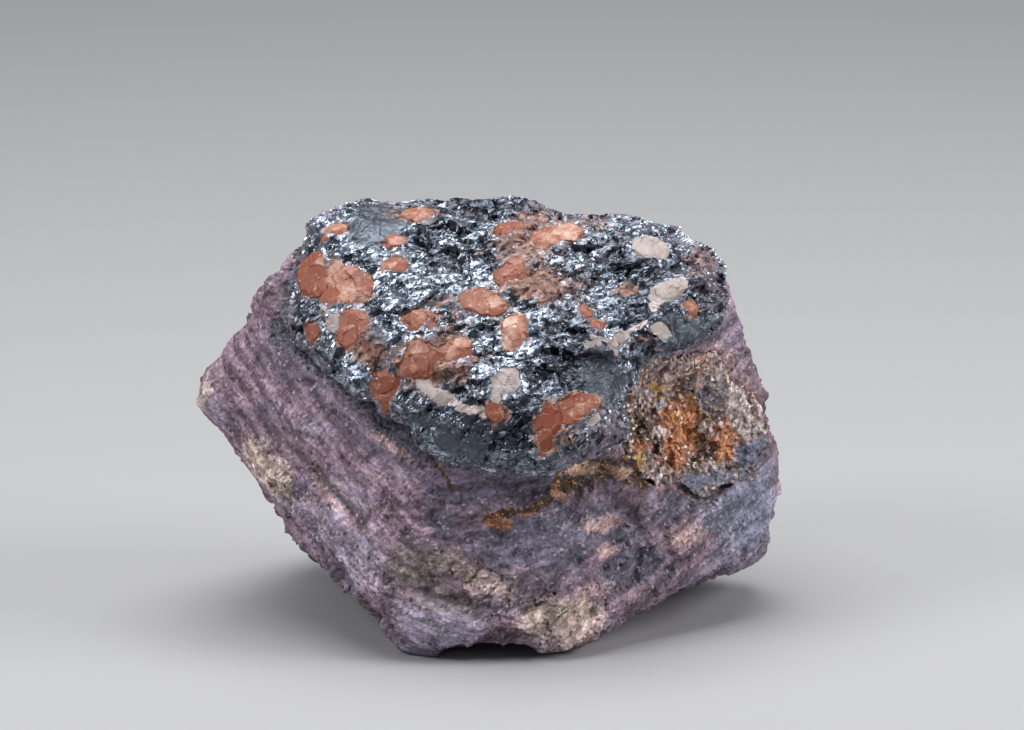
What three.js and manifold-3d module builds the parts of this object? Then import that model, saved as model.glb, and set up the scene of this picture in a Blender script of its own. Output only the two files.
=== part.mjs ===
// Franklinite on matrix: a fist-sized broken rock. A slab-sided lump of layered mauve-grey matrix carries a
// domed cap of granular, metallic franklinite on its sloping upper face. Orange grains and pale calcite sit
// in pockets of the cap, and a drusy iron-stained crust lines a hollow at the cap's right edge.
//
// Millimetres, +X to the right across the display face, +Y away from the viewer, +Z up. The origin ends up at
// the middle of the underside. Places on the display face are [across, up] from the middle of the front foot,
// in a plane that leans back by DISPLAY_LEAN.

import * as THREE from "three";
import { ConvexGeometry } from "three/addons/geometries/ConvexGeometry.js";
import { ImprovedNoise } from "three/addons/math/ImprovedNoise.js";
import { mergeVertices } from "three/addons/utils/BufferGeometryUtils.js";
import Module from "manifold-3d";

// Driving dimensions, in millimetres and degrees.
const DISPLAY_LEAN = 15;
const SEAT_GAP = 0.3; // between a grain and the pocket that holds it
const EDGE_SHARPNESS = 45; // power that blends fracture faces: higher leaves crisper edges
const SEED = 7;

// The specimen's outline on the display face, clockwise from the left tip.
const OUTLINE = [
  [-44.8, 40.0], [-42.5, 45.5], [-38.6, 52.0], [-35.2, 57.4], [-32.0, 61.6], [-29.3, 63.5],
  [-27.4, 66.9], [-22.4, 69.3], [-17.3, 70.7], [-12.4, 70.9], [-7.7, 69.8], [-1.9, 69.8],
  [3.4, 71.5], [9.0, 69.6], [17.0, 68.6], [23.2, 68.6], [30.6, 64.5], [34.6, 60.8],
  [38.0, 54.2], [40.1, 48.6], [40.5, 44.3], [42.9, 38.9], [42.5, 36.3], [45.2, 32.6],
  [44.3, 29.2], [44.8, 25.8], [42.6, 16.8], [38.6, 12.4], [32.4, 11.9], [18.8, 5.4],
  [14.2, 0.2], [9.3, 0.8], [2.8, 2.6], [-1.9, 2.3], [-7.7, 0.2], [-14.7, 1.5],
  [-15.3, 4.8], [-22.4, 11.9], [-30.9, 19.6], [-34.6, 23.5], [-37.2, 30.0],
];

// Fracture faces of the matrix: the way each one looks, as a compass turn from the front and a tilt up, and
// its distance from the matrix's centre.
const MATRIX_CENTRE = [0, 28, 30];
const FRACTURES = [
  { name: "front apron", turn: 2, tilt: 3, distance: 27.3 },
  { name: "left slab", turn: -34, tilt: 12, distance: 27.6 },
  { name: "right flank", turn: 38, tilt: 4, distance: 27.4 },
  { name: "left underside", turn: -58, tilt: -45, distance: 37 },
  { name: "right underside", turn: 55, tilt: -62, distance: 37.5 },
  { name: "rear underside", turn: 172, tilt: -38, distance: 33 },
  { name: "rear", turn: 176, tilt: 8, distance: 29 },
  { name: "rear left", turn: -142, tilt: 16, distance: 34 },
  { name: "rear right", turn: 136, tilt: 6, distance: 37.5 },
  { name: "rear top", turn: -172, tilt: 50, distance: 37 },
  { name: "top", turn: 30, tilt: 84, distance: 36 },
  { name: "top left", turn: -78, tilt: 42, distance: 44.5 },
  { name: "top right", turn: 84, tilt: 38, distance: 46 },
];

// The bed is the sloping face that the cap grew on.
const BED_CENTRE = [1.5, 19.3, 47.2];
const BED_SLOPE = 44.3; // it rises towards the rear
const BED_ROUGHNESS = 2.4;
const CAP_RADII = [43, 33, 17]; // across the bed, up its slope and square to it
const CAP_SINK = 8; // the dome's widest line lies this far below the bed
const CAP_ROUNDNESS = 2.3; // power that rounds the dome: 2 is an ellipse
const CAP_SPREAD = 1.07; // of the dome's widest line over its edge on the bed
const CAP_DETAIL = 11;
// The cap's edge on the display face below the skyline, clockwise from the right.
const CAP_EDGE = [
  [36.5, 56.5], [35.4, 52.4], [32.3, 48.8], [27.5, 46.8], [23.2, 46.2], [21.4, 41.0], [20.2, 33.5],
  [14.0, 30.2], [6.2, 28.8],
  [-2.0, 30.0], [-9.3, 32.7], [-16.0, 37.5], [-22.4, 42.8], [-29.0, 48.0], [-31.6, 53.6], [-29.8, 60.0],
];
const GRAIN_SIZE = 4.2; // crystals of the cap: each is a flat cell with its own tilt
const GRAIN_TILT = 0.34;
const GRAIN_STEP = 1.1;

const LEDGE_SPACING = 8.5; // the layering wraps round the cap, and breaks off in steps
const LEDGE_STEP = 1.3;
// A groove below the cap, as shares of the cap's radii, that fades out to the left.
const MOAT = { share: 0.88, width: 0.13, depth: 3.6, from: -20, to: -4 };
const MATRIX_DETAIL = 10;

// The hollow beside the cap, and the crust that lines it.
const HOLLOW = { at: [31.2, 36.0], radii: [17, 12, 9], depth: 4.2, turn: 32, tilt: 14 };
const CRUST_THICKNESS = 1.3;
const CRUST_DETAIL = 6;
const CRUST_GRAIN_SIZE = 2.6;

// Shallow uneven hollows between the feet of the underside.
const ARCHES = [
  { at: [-1, 2, -3.2], radii: [11.5, 17, 5.6] },
  { at: [3, 32, -4.2], radii: [24, 15, 6.6] },
];

// Inlays: each is one or more lobes, written as across, up, length, width and turn of the length.
const ORANGE_GRAINS = {
  orange_grain_large_left: [[-22.2, 56.6, 10, 7.4, -58], [-26.4, 58.6, 8, 5.4, -72]],
  orange_grain_left_edge: [[-23.4, 65.2, 4.0, 3.0, 0]],
  orange_grain_top_edge: [[-10.7, 68.0, 4.8, 3.2, 5]],
  orange_grain_upper_small: [[-14.2, 63.8, 2.5, 2.1, 0]],
  orange_grain_upper_round: [[-14.2, 60.1, 3.5, 3.0, -10]],
  orange_grain_left_small: [[-26.6, 50.0, 2.4, 2.0, 90]],
  orange_grain_left_band: [[-20.3, 50.2, 7.0, 4.6, -55], [-17.6, 46.6, 6.6, 4.2, -55]],
  orange_grain_lower_left: [[-15.4, 41.2, 5.8, 4.4, -60]],
  orange_grain_centre_left: [[-10.8, 51.3, 5.0, 3.9, 0], [-7.6, 51.4, 2.8, 2.0, -10]],
  orange_grain_cluster: [[-10.0, 45.6, 7.2, 5.6, -10], [-5.4, 46.6, 5.6, 4.4, 15]],
  orange_grain_centre: [[-0.8, 54.8, 6.0, 4.4, -15]],
  orange_grain_column: [[3.9, 49.8, 6.6, 3.0, 84]],
  orange_grain_lower_round: [[0.9, 38.0, 2.7, 2.5, 0]],
  orange_grain_top_brown: [[3.6, 65.4, 5.0, 4.2, 10]],
  orange_grain_top_large: [[9.4, 64.2, 8.2, 5.2, 25]],
  orange_grain_upper_centre: [[3.3, 58.8, 5.2, 3.6, 66]],
  orange_grain_right_upper: [[14.4, 53.1, 2.4, 2.0, 80]],
  orange_grain_right_lower: [[16.1, 50.9, 2.0, 1.8, 40]],
  orange_grain_lower_lens: [[8.8, 35.6, 7.0, 3.4, 74]],
  orange_grain_lower_right: [[13.4, 39.0, 6.2, 3.8, 30]],
  orange_grain_far_right: [[30.2, 53.6, 2.2, 2.2, 0]],
};
const CALCITE_PATCHES = {
  calcite_oval: [[24.7, 63.2, 5.6, 4.2, -10]],
  calcite_streak: [[26.7, 56.0, 7.0, 2.9, 38]],
  calcite_fork: [[16.9, 48.4, 4.4, 1.9, 5], [19.6, 48.8, 4.0, 2.1, 40]],
  calcite_vein: [[-9.9, 42.0, 4.0, 1.8, -48], [-7.0, 40.2, 5.0, 1.9, -24], [-2.9, 38.8, 5.2, 1.9, -17]],
  calcite_triangle: [[2.4, 43.0, 4.4, 3.6, 50], [1.4, 41.0, 3.4, 2.0, 70]],
  calcite_sliver: [[16.6, 37.6, 5.0, 1.7, 38]],
  calcite_right: [[26.0, 50.2, 3.4, 2.3, -20]],
  calcite_left: [[-23.6, 51.6, 3.0, 1.8, -70]],
};
const INLAY_THICKNESS = 0.64; // share of a lobe's width
const INLAY_PROUD = 0.2; // share of that thickness that stands out of the cap
const INLAY_LEAST_PROUD = 0.45;
const INLAY_SPREAD = 1.38; // corners of a lobe reach past its bare outline by this factor
const INLAY_POINTS = 15;

const wasm = await Module();
wasm.setup();

const noise = new ImprovedNoise();
const lean = THREE.MathUtils.degToRad(DISPLAY_LEAN);
const UP = new THREE.Vector3(0, Math.sin(lean), Math.cos(lean));
const TOWARD = new THREE.Vector3(0, -Math.cos(lean), Math.sin(lean));
const asCorners = (places) => places.map(([across, up]) => new THREE.Vector2(across, up));
const outline = asCorners(OUTLINE);
const domeOutline = asCorners([...OUTLINE.slice(6, 18), ...CAP_EDGE]);
const capMiddle = new THREE.Box2().setFromPoints(domeOutline).getCenter(new THREE.Vector2());
domeOutline.forEach((corner) => corner.sub(capMiddle).multiplyScalar(CAP_SPREAD).add(capMiddle));

// Seeded random numbers, so that every build is the same.
THREE.MathUtils.seededRandom(SEED);
const random = () => THREE.MathUtils.seededRandom();
const between = ([low, high]) => low + (high - low) * random();

// Unit vector that looks a compass turn to the right of the front, tilted up.
function facing(turn, tilt) {
  const [t, e] = [turn, tilt].map(THREE.MathUtils.degToRad);
  return new THREE.Vector3(Math.sin(t) * Math.cos(e), -Math.cos(t) * Math.cos(e), Math.sin(e));
}

// Turns local X, Y and Z so that Z looks along a normal and X lies level with a turn about it.
function placement(centre, normal, turn = 0) {
  const z = normal.clone().normalize();
  const level = new THREE.Vector3(1, 0, 0).applyAxisAngle(TOWARD, THREE.MathUtils.degToRad(turn));
  const y = new THREE.Vector3().crossVectors(z, level).normalize();
  const x = new THREE.Vector3().crossVectors(y, z);
  return new THREE.Matrix4().makeBasis(x, y, z).setPosition(centre);
}

// A closed three.js geometry as a solid that can be joined and cut.
function solidOf(geometry) {
  const bare = geometry.clone();
  bare.deleteAttribute("normal");
  bare.deleteAttribute("uv");
  const merged = mergeVertices(bare, 1e-4);
  return new wasm.Manifold(new wasm.Mesh({
    numProp: 3,
    vertProperties: new Float32Array(merged.attributes.position.array),
    triVerts: new Uint32Array(merged.index.array),
  }));
}

function geometryOf(solid) {
  const { vertProperties, triVerts } = solid.getMesh();
  const geometry = new THREE.BufferGeometry();
  geometry.setAttribute("position", new THREE.BufferAttribute(vertProperties, 3));
  geometry.setIndex(new THREE.BufferAttribute(triVerts, 1));
  return geometry;
}

// The biggest of a solid's separate bodies, so that a cut leaves no crumbs.
function mainBody(solid) {
  return solid.decompose().reduce((a, b) => (a.volume() > b.volume() ? a : b));
}

function block(size, matrix) {
  return solidOf(new THREE.BoxGeometry(...size).applyMatrix4(matrix));
}

// A faceted lump: the convex hull of points scattered over an ellipsoid.
function lump(radii, matrix, points) {
  const corners = [];
  for (let i = 0; i < points; i++) {
    const height = 1 - (2 * (i + 0.5)) / points;
    const angle = i * Math.PI * (3 - Math.sqrt(5)) + between([-0.5, 0.5]);
    const girth = Math.sqrt(1 - height * height);
    const swell = between([0.84, 1.0]);
    const corner = new THREE.Vector3(girth * Math.cos(angle), girth * Math.sin(angle), height);
    corners.push(corner.multiplyScalar(swell).multiply(new THREE.Vector3(...radii)).applyMatrix4(matrix));
  }
  return solidOf(new ConvexGeometry(corners));
}

// Distance from a point on the display face to the edge of a closed shape, along a unit heading.
function edgeDistance(corners, start, heading) {
  let nearest = Infinity;
  corners.forEach((corner, i) => {
    const edge = corners[(i + 1) % corners.length].clone().sub(corner);
    const toCorner = corner.clone().sub(start);
    const slant = heading.cross(edge);
    const distance = toCorner.cross(edge) / slant;
    const share = toCorner.cross(heading) / slant;
    if (distance > 0 && share >= 0 && share <= 1) nearest = Math.min(nearest, distance);
  });
  return nearest;
}

// One over the reach that a shape on the display face allows from a centre along a direction.
function edgeBound(corners, centre, direction) {
  const start = new THREE.Vector2(centre.x, centre.dot(UP));
  const heading = new THREE.Vector2(direction.x, direction.dot(UP));
  const flat = heading.length();
  return flat < 1e-6 ? 0 : flat / edgeDistance(corners, start, heading.divideScalar(flat));
}

// The reach inside several bounds, blended so that edges are a little worn.
function reachWithin(bounds, sharpness) {
  const total = bounds.reduce((sum, bound) => sum + Math.max(0, bound) ** sharpness, 0);
  return total ** (-1 / sharpness);
}

function noiseAt(point, size) {
  return noise.noise(point.x / size, point.y / size, point.z / size);
}

// A lump grown from a sphere: every direction from the centre gets the reach that the rule gives it.
function grown(centre, detail, reachAlong) {
  const ball = mergeVertices(new THREE.IcosahedronGeometry(1, detail).deleteAttribute("normal")
    .deleteAttribute("uv"), 1e-4);
  const position = ball.attributes.position;
  for (let i = 0; i < position.count; i++) {
    const direction = new THREE.Vector3().fromBufferAttribute(position, i).normalize();
    const point = direction.clone().multiplyScalar(reachAlong(direction)).add(centre);
    position.setXYZ(i, point.x, point.y, point.z);
  }
  return solidOf(ball);
}

// The bed's own axes, shared by the cap and by the layering that wraps round it.
const bedNormal = facing(0, 90 - BED_SLOPE);
const bedCentre = new THREE.Vector3(...BED_CENTRE);
const bedPlace = placement(bedCentre, bedNormal);
const capCentre = bedCentre.clone().addScaledVector(bedNormal, -CAP_SINK);
const capTurn = new THREE.Matrix4().extractRotation(bedPlace).invert();

// Share of the cap's radii at which a point lies: 1 is on the plain ellipsoid.
function capShare(offset) {
  return offset.clone().applyMatrix4(capTurn).divide(new THREE.Vector3(...CAP_RADII)).length();
}

function matrixBody() {
  const centre = new THREE.Vector3(...MATRIX_CENTRE);
  const faces = FRACTURES.map(({ turn, tilt, distance }) => ({ normal: facing(turn, tilt), distance }));
  return grown(centre, MATRIX_DETAIL, (direction) => {
    const bounds = faces.map(({ normal, distance }) => direction.dot(normal) / distance);
    const reach = reachWithin([...bounds, edgeBound(outline, centre, direction)], EDGE_SHARPNESS);
    const point = direction.clone().multiplyScalar(reach).add(centre);
    const share = capShare(point.clone().sub(capCentre));
    const layer = (share * CAP_RADII[1]) / LEDGE_SPACING + 0.5 * noiseAt(point, 19);
    const ledge = LEDGE_STEP * (layer - Math.floor(layer)) ** 2;
    const fade = THREE.MathUtils.smoothstep(point.x, MOAT.from, MOAT.to);
    const moat = fade * MOAT.depth * Math.exp(-(((share - MOAT.share) / MOAT.width) ** 2));
    return reach - ledge - moat + 1.5 * noiseAt(point, 13) + 0.8 * noiseAt(point, 5.5);
  });
}

// Height of a mosaic of flat tilted cells: each cell's seed sits at random in its own box of space.
function mosaicAt(point, size) {
  const box = point.clone().divideScalar(size).floor();
  let nearest = Infinity;
  let height = 0;
  for (let i = 0; i < 27; i++) {
    const step = new THREE.Vector3(i % 3, Math.floor(i / 3) % 3, Math.floor(i / 9)).subScalar(1);
    const cell = box.clone().add(step);
    THREE.MathUtils.seededRandom(cell.x * 7919 + cell.y * 104729 + cell.z * 1299709 + SEED);
    const seed = cell.clone().add(new THREE.Vector3(random(), random(), random())).multiplyScalar(size);
    const tilt = new THREE.Vector3(random() - 0.5, random() - 0.5, random() - 0.5).multiplyScalar(2);
    const offset = point.clone().sub(seed);
    if (offset.length() < nearest) {
      nearest = offset.length();
      height = GRAIN_TILT * offset.dot(tilt) + GRAIN_STEP * (random() - 0.5) * (size / GRAIN_SIZE);
    }
  }
  return height;
}

// The cap, with its mosaic of crystals standing out by a share of their height.
function capBody(relief) {
  return grown(capCentre, CAP_DETAIL, (direction) => {
    const square = Math.abs(direction.dot(bedNormal)) / CAP_RADII[2];
    const bounds = [square, edgeBound(domeOutline, capCentre, direction)];
    const reach = reachWithin(bounds, CAP_ROUNDNESS);
    const point = direction.clone().multiplyScalar(reach).add(capCentre);
    return reach + 0.7 + 1.6 * noiseAt(point, 10) + relief * mosaicAt(point, GRAIN_SIZE);
  });
}

// Everything below the uneven bed, raised by a gap.
function belowBed(gap) {
  const half = 65;
  const steps = 18;
  const slab = new THREE.BoxGeometry(2 * half, 2 * half, half, steps, steps, 1);
  slab.translate(0, 0, -half / 2).applyMatrix4(bedPlace);
  const position = slab.attributes.position;
  for (let i = 0; i < position.count; i++) {
    const point = new THREE.Vector3().fromBufferAttribute(position, i);
    if (point.clone().sub(bedCentre).dot(bedNormal) > -1) {
      point.addScaledVector(bedNormal, BED_ROUGHNESS * noiseAt(point, 12) + gap);
      position.setXYZ(i, point.x, point.y, point.z);
    }
  }
  return solidOf(slab);
}

// Where a line square to the display face first meets a solid.
function spotOn(skin, across, up) {
  const start = new THREE.Vector3(across, 0, 0).addScaledVector(UP, up).addScaledVector(TOWARD, 200);
  const [hit] = new THREE.Raycaster(start, TOWARD.clone().negate()).intersectObject(skin);
  return { point: hit.point, normal: hit.face.normal.clone().add(TOWARD).normalize() };
}

// The lobes of one inlay joined, each sunk in the cap, with room added all round for its pocket.
function inlay(lobes, seed, room) {
  THREE.MathUtils.seededRandom(seed);
  return lobes.map(([across, up, length, width, turn]) => {
    const { point } = spotOn(rockSkin, across, up);
    const { normal } = spotOn(smoothSkin, across, up);
    const thickness = INLAY_THICKNESS * width;
    const proud = Math.max(INLAY_PROUD * thickness, INLAY_LEAST_PROUD);
    const centre = point.addScaledVector(normal, proud - thickness / 2);
    const radii = [INLAY_SPREAD * length, INLAY_SPREAD * width, thickness].map((size) => size / 2 + room);
    return lump(radii, placement(centre, normal, turn), INLAY_POINTS);
  }).reduce((whole, lobe) => whole.add(lobe));
}

const FINISHES = {
  matrix: { color: 0x746771, roughness: 0.85, metalness: 0 },
  franklinite: { color: 0x5a5d66, roughness: 0.35, metalness: 0.8 },
  orange: { color: 0xbd8070, roughness: 0.45, metalness: 0 },
  calcite: { color: 0xcabcb8, roughness: 0.6, metalness: 0 },
  iron_crust: { color: 0x8a6048, roughness: 0.7, metalness: 0 },
};

function named(name, solid, finish) {
  const material = new THREE.MeshStandardMaterial({ ...FINISHES[finish], flatShading: true });
  const mesh = new THREE.Mesh(geometryOf(solid), material);
  mesh.name = name;
  return mesh;
}

// The matrix, flat where it stands and cut away along the bed.
const floor = block([400, 400, 200], new THREE.Matrix4().setPosition(0, 0, -100));
const arches = ARCHES.map(({ at, radii }) => grown(new THREE.Vector3(...at), 4, (direction) => {
  const uneven = 1 + 0.4 * noise.noise(direction.x * 2, direction.y * 2, direction.z * 2 + at[0]);
  return uneven / direction.clone().divide(new THREE.Vector3(...radii)).length();
}));
const wholeMatrix = arches.reduce((rock, arch) => rock.subtract(arch), matrixBody().subtract(floor));
const bedded = wholeMatrix.intersect(belowBed(0));

// The cap, trimmed along the bed.
const plainCap = capBody(1).subtract(belowBed(SEAT_GAP));

// The hollow bites into both, and its drusy crust lines it.
const together = bedded.add(plainCap);
const rockSkin = new THREE.Mesh(geometryOf(together));
const hollowNormal = facing(HOLLOW.turn, HOLLOW.tilt);
const hollowCentre = spotOn(rockSkin, ...HOLLOW.at).point
  .addScaledVector(hollowNormal, HOLLOW.radii[2] - HOLLOW.depth);
const hollowTurn = new THREE.Matrix4().extractRotation(placement(hollowCentre, hollowNormal)).invert();
function hollowReach(direction, shrink) {
  const radii = new THREE.Vector3(...HOLLOW.radii).subScalar(shrink);
  const reach = 1 / direction.clone().applyMatrix4(hollowTurn).divide(radii).length();
  return reach * (1 + 0.22 * noise.noise(direction.x * 1.9, direction.y * 1.9, direction.z * 1.9 + 2.3));
}
const hollow = grown(hollowCentre, CRUST_DETAIL, (direction) => hollowReach(direction, 0));
const seat = grown(hollowCentre, CRUST_DETAIL, (direction) => hollowReach(direction, SEAT_GAP));
const druse = grown(hollowCentre, CRUST_DETAIL, (direction) => {
  const reach = hollowReach(direction, SEAT_GAP + CRUST_THICKNESS);
  return reach + mosaicAt(direction.clone().multiplyScalar(reach).add(hollowCentre), CRUST_GRAIN_SIZE);
});
const crust = together.intersect(seat).subtract(druse);

// Inlays: each keeps clear of those before it, and the cap gets a pocket for each.
const smoothSkin = new THREE.Mesh(geometryOf(bedded.add(capBody(0))));
const inlays = [];
let taken = hollow;
[[ORANGE_GRAINS, "orange"], [CALCITE_PATCHES, "calcite"]].forEach(([group, finish]) => {
  Object.entries(group).forEach(([name, lobes], i) => {
    const seed = SEED + 100 * i + finish.length;
    const solid = mainBody(inlay(lobes, seed, 0).subtract(taken));
    taken = taken.add(inlay(lobes, seed, SEAT_GAP));
    inlays.push(named(name, solid, finish));
  });
});

const specimen = new THREE.Group();
specimen.add(
  named("matrix", mainBody(bedded.subtract(taken)), "matrix"),
  named("franklinite", mainBody(plainCap.subtract(taken)), "franklinite"),
  named("iron_crust", mainBody(crust), "iron_crust"),
  ...inlays,
);

// Origin at the middle of the underside.
const box = new THREE.Box3().setFromObject(specimen);
const middle = box.getCenter(new THREE.Vector3());
specimen.position.set(-middle.x, -middle.y, -box.min.z);

export default specimen;
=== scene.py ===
"""Franklinite on matrix: rock, metal and crystal surfaces over the solids of a mineral specimen.

The solids give every piece its place and size. Here each one gets a fine skin: broken layers on the matrix,
a mosaic of metallic crystals on the cap, cleaved orange grains, pale calcite and a drusy rust-stained crust.
"""

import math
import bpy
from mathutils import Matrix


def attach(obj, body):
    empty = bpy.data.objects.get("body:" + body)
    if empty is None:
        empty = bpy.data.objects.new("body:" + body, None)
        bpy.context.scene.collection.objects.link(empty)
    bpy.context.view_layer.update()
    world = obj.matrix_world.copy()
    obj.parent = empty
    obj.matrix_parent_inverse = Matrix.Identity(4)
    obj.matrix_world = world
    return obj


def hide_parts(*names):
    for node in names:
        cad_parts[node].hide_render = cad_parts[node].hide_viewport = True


bl_info = {
    "name": "Franklinite on Matrix",
    "version": (1, 0, 0),
    "blender": (4, 5, 0),
    "location": "3D View > Sidebar > Specimen",
    "description": "Gives a mineral specimen's solids their rock, metal and crystal surfaces",
    "category": "Object",
}

import bpy
import numpy as np
from mathutils import Vector, noise
from mathutils.bvhtree import BVHTree

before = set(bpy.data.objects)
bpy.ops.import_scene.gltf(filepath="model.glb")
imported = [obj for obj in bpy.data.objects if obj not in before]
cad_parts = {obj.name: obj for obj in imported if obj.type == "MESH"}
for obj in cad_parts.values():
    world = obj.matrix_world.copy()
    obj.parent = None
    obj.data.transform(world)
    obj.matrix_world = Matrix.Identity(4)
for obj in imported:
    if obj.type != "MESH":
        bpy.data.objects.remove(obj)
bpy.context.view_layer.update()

MM = 0.001
ORANGE_GRAINS = sorted(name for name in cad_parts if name.startswith("orange_grain"))
CALCITE_PATCHES = sorted(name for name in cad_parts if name.startswith("calcite"))

# Places on the display face are millimetres across and up from the middle of the front foot,
# in a plane that leans back.
DISPLAY_LEAN = math.radians(15.0)
DISPLAY_ORIGIN = np.array((-0.31, -28.64, 0.0)) * MM
UP = np.array((0.0, math.sin(DISPLAY_LEAN), math.cos(DISPLAY_LEAN)))
TOWARD = np.array((0.0, -math.cos(DISPLAY_LEAN), math.sin(DISPLAY_LEAN)))
DISPLAY_DEPTH = 40.0  # behind this many millimetres lies the rear of the specimen

# The layers of the matrix sag below the cap: how steeply they climb to the sides, how broad the sag is in
# millimetres, and how far it shifts to the side and sinks for each millimetre behind the display face.
LAYER_CLIMB = 1.05
LAYER_SAG = 24.0
LAYER_SHIFT = 0.4
LAYER_DIP = 0.35

# Corners of the outline that stand a little further out or in than the solids, in millimetres: across, up,
# reach, and the move across and up.
MATRIX_CORNERS = [
    (-44.0, 39.8, 5.0, -1.4, -0.3), (-43.0, 47.0, 4.5, 0.9, -0.4), (34.5, 60.5, 11.0, 2.8, 1.3),
    (40.0, 53.0, 7.0, 1.5, 0.3), (-29.8, 66.0, 4.0, 1.4, -0.3), (-35.8, 25.4, 6.0, 0.9, 0.6),
    (-21.0, 71.0, 9.0, 0.0, -2.2), (-15.8, 2.8, 5.0, -0.9, -0.3),
]
CAP_CORNERS = [
    (34.5, 60.5, 11.0, 2.8, 1.3), (-29.8, 66.0, 4.0, 1.4, -0.3), (3.4, 71.8, 2.4, 0.0, -1.4),
    (-21.5, 68.0, 7.0, 0.0, 1.5),
]

# The crystals of the cap lie in rows that climb to the right.
ROW_CLIMB = math.radians(28.0)
ROWS = np.array((math.cos(ROW_CLIMB), 0.0, 0.0)) + math.sin(ROW_CLIMB) * UP
ROW_STRETCH, FACET_STRETCH = 1.9, 1.5  # how far the crystals and their faces are drawn out along the rows
ROW_LEAN = 0.16  # how far the crystals lean upwards

# Broken faces: how far they tilt at random, and by how much one stands above the next.
BLOCK_FACE = (0.16, 0.9 * MM)
CHIP_FACE = (0.28, 0.6 * MM)
CRUMB_FACE = (0.30, 0.12 * MM)
ROW_FACE = (0.14, 0.85 * MM)
FACET_FACE = (0.2, 0.25 * MM)
CLEAVAGE_FACE = (0.09, 0.1 * MM)
CLUSTER_FACE = (0.22, 0.35 * MM)
CRYSTAL_FACE = (0.26, 0.2 * MM)
FACE_LIMIT = 0.35  # the furthest that a face moves, as a share of its size
BLOCK_PROUD = 0.02  # the furthest that the broad faces stand out, so that the outline stays

# How far one mineral shows in the next.
METAL_REACH = 2.4 * MM  # metal grains in the matrix by the cap
RUST_REACH = 2.5 * MM  # rust in the matrix by the crust
WHOLE_REACH = 5.0 * MM  # rock that did not split, by the cap and the crust
STAIN_REACH = 1.2 * MM  # brown stain on the cap by the orange grains
DUST_REACH = 2.6 * MM  # rock dust on the cap by the matrix
SEAT_REACH = 1.4 * MM  # calmer metal by the grains
RIM_REACH = 1.3 * MM  # redder edges of the grains by the cap
RING_REACH = 2.5 * MM  # ring of the host that a piece is pressed level with

FLOOR_REACH = 1.5 * MM  # below this height the skin fades into the flat feet
CRUMB = 1.2 * MM  # finest chips of the matrix
ROW_CREVICE, FACET_CREVICE, CREVICE_DEPTH = 0.34 * MM, 0.2 * MM, 0.35 * MM
GRAIN_WAVE = 0.3 * MM  # unevenness of a grain's edge
CRUST_PROUD = 0.6 * MM  # how far the crust stands out of the matrix
CLEFT = 0.18 * MM  # width of the clefts between the crust's crystals

# Patches on the display face: across, up, half length, half width, turn of the length in degrees, strength.
MATRIX_PATCHES = {
    "dusk": [
        (-29.3, 45.1, 9.6, 5.2, -38, 0.7), (-16.2, 33.5, 12.4, 3.4, -38, 0.75), (8.5, 11.9, 9.3, 1.9, 4, 0.6),
        (36.6, 48.0, 4.6, 7.4, 15, 0.95),
    ],
    "pale": [
        (-22.4, 18.1, 13.1, 2.8, -44, 0.5), (-7.7, 6.5, 7.4, 4.9, 0, 1.0), (8.5, 1.1, 6.5, 1.4, -4, 0.75),
        (34.7, 10.0, 12.4, 3.6, 22, 1.0), (-41.4, 48.9, 1.9, 9.0, -28, 0.55), (1.5, 8.8, 4.6, 1.9, -15, 0.5),
    ],
    "ochre": [
        (-33.7, 29.2, 6.5, 2.6, -50, 0.75), (11.1, 6.9, 7.1, 4.0, 10, 0.85), (-1.9, 13.4, 9.3, 2.5, -22, 0.6),
        (-44.0, 39.7, 1.4, 4.0, -20, 0.7),
    ],
    "blue_grey": [
        (38.3, 24.2, 7.1, 10.2, 10, 0.95), (35.0, 13.5, 13.0, 3.8, 44, 0.6), (-10.0, 2.6, 6.2, 2.2, 0, 0.6),
        (8.5, 0.3, 6.9, 0.9, 0, 0.5),
    ],
    # Dark slate rock of the lens below the cap, with painted shade on the underside strip at the lower left,
    # the last patch.
    "slate": [
        (6.2, 27.6, 17.0, 4.0, 4, 0.75), (11.1, 19.0, 15.4, 4.9, 8, 1.0), (21.9, 14.1, 6.8, 3.4, 25, 1.0),
        (31.5, 25.8, 8.6, 3.1, 36, 0.9), (-13.6, 34.1, 7.7, 2.3, -38, 0.8), (-5.4, 21.2, 6.8, 3.1, -35, 0.7),
        (-26.0, 15.2, 17.0, 1.5, -47, 0.9),
    ],
    "moss": [
        (-11.1, 15.0, 5.6, 3.7, -22, 0.7), (-6.2, 10.0, 6.8, 2.2, -12, 0.6),
        (-24.4, 27.0, 4.0, 1.5, -38, 0.5), (-16.2, 23.5, 3.7, 1.5, -35, 0.4),
    ],
    "pink": [
        (18.1, 21.5, 4.0, 1.4, 3, 0.9), (18.2, 17.1, 2.0, 1.5, 30, 0.9), (29.8, 19.1, 4.0, 1.9, 25, 0.8),
        (35.8, 44.0, 4.6, 7.4, 12, 0.6), (38.3, 39.4, 3.1, 4.0, 0, 0.7), (-14.5, 32.6, 4.6, 0.8, -30, 0.75),
        (-22.4, 23.5, 9.3, 0.8, -42, 0.6), (15.4, 11.1, 9.3, 1.7, 8, 0.5), (-29.8, 61.0, 2.2, 3.7, 20, 0.5),
    ],
    "rust": [
        (1.2, 21.5, 2.3, 1.2, -8, 0.95), (5.7, 23.2, 1.7, 0.9, 20, 0.9), (30.9, 37.4, 11.4, 9.6, 0, 0.35),
        (10.8, 26.1, 1.9, 0.9, 25, 0.8),
    ],
    "tan": [
        (14.7, 28.9, 2.1, 1.5, 5, 1.0), (19.8, 28.4, 1.9, 1.2, 10, 0.95), (11.3, 25.2, 1.2, 0.9, 0, 0.8),
    ],
}
# Metal grains in the matrix.
METAL_SPOTS = [(-31.0, 49.8, 4.0, 2.2, -40, 0.65), (-27.8, 47.4, 4.6, 2.2, -40, 0.8)]
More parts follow.
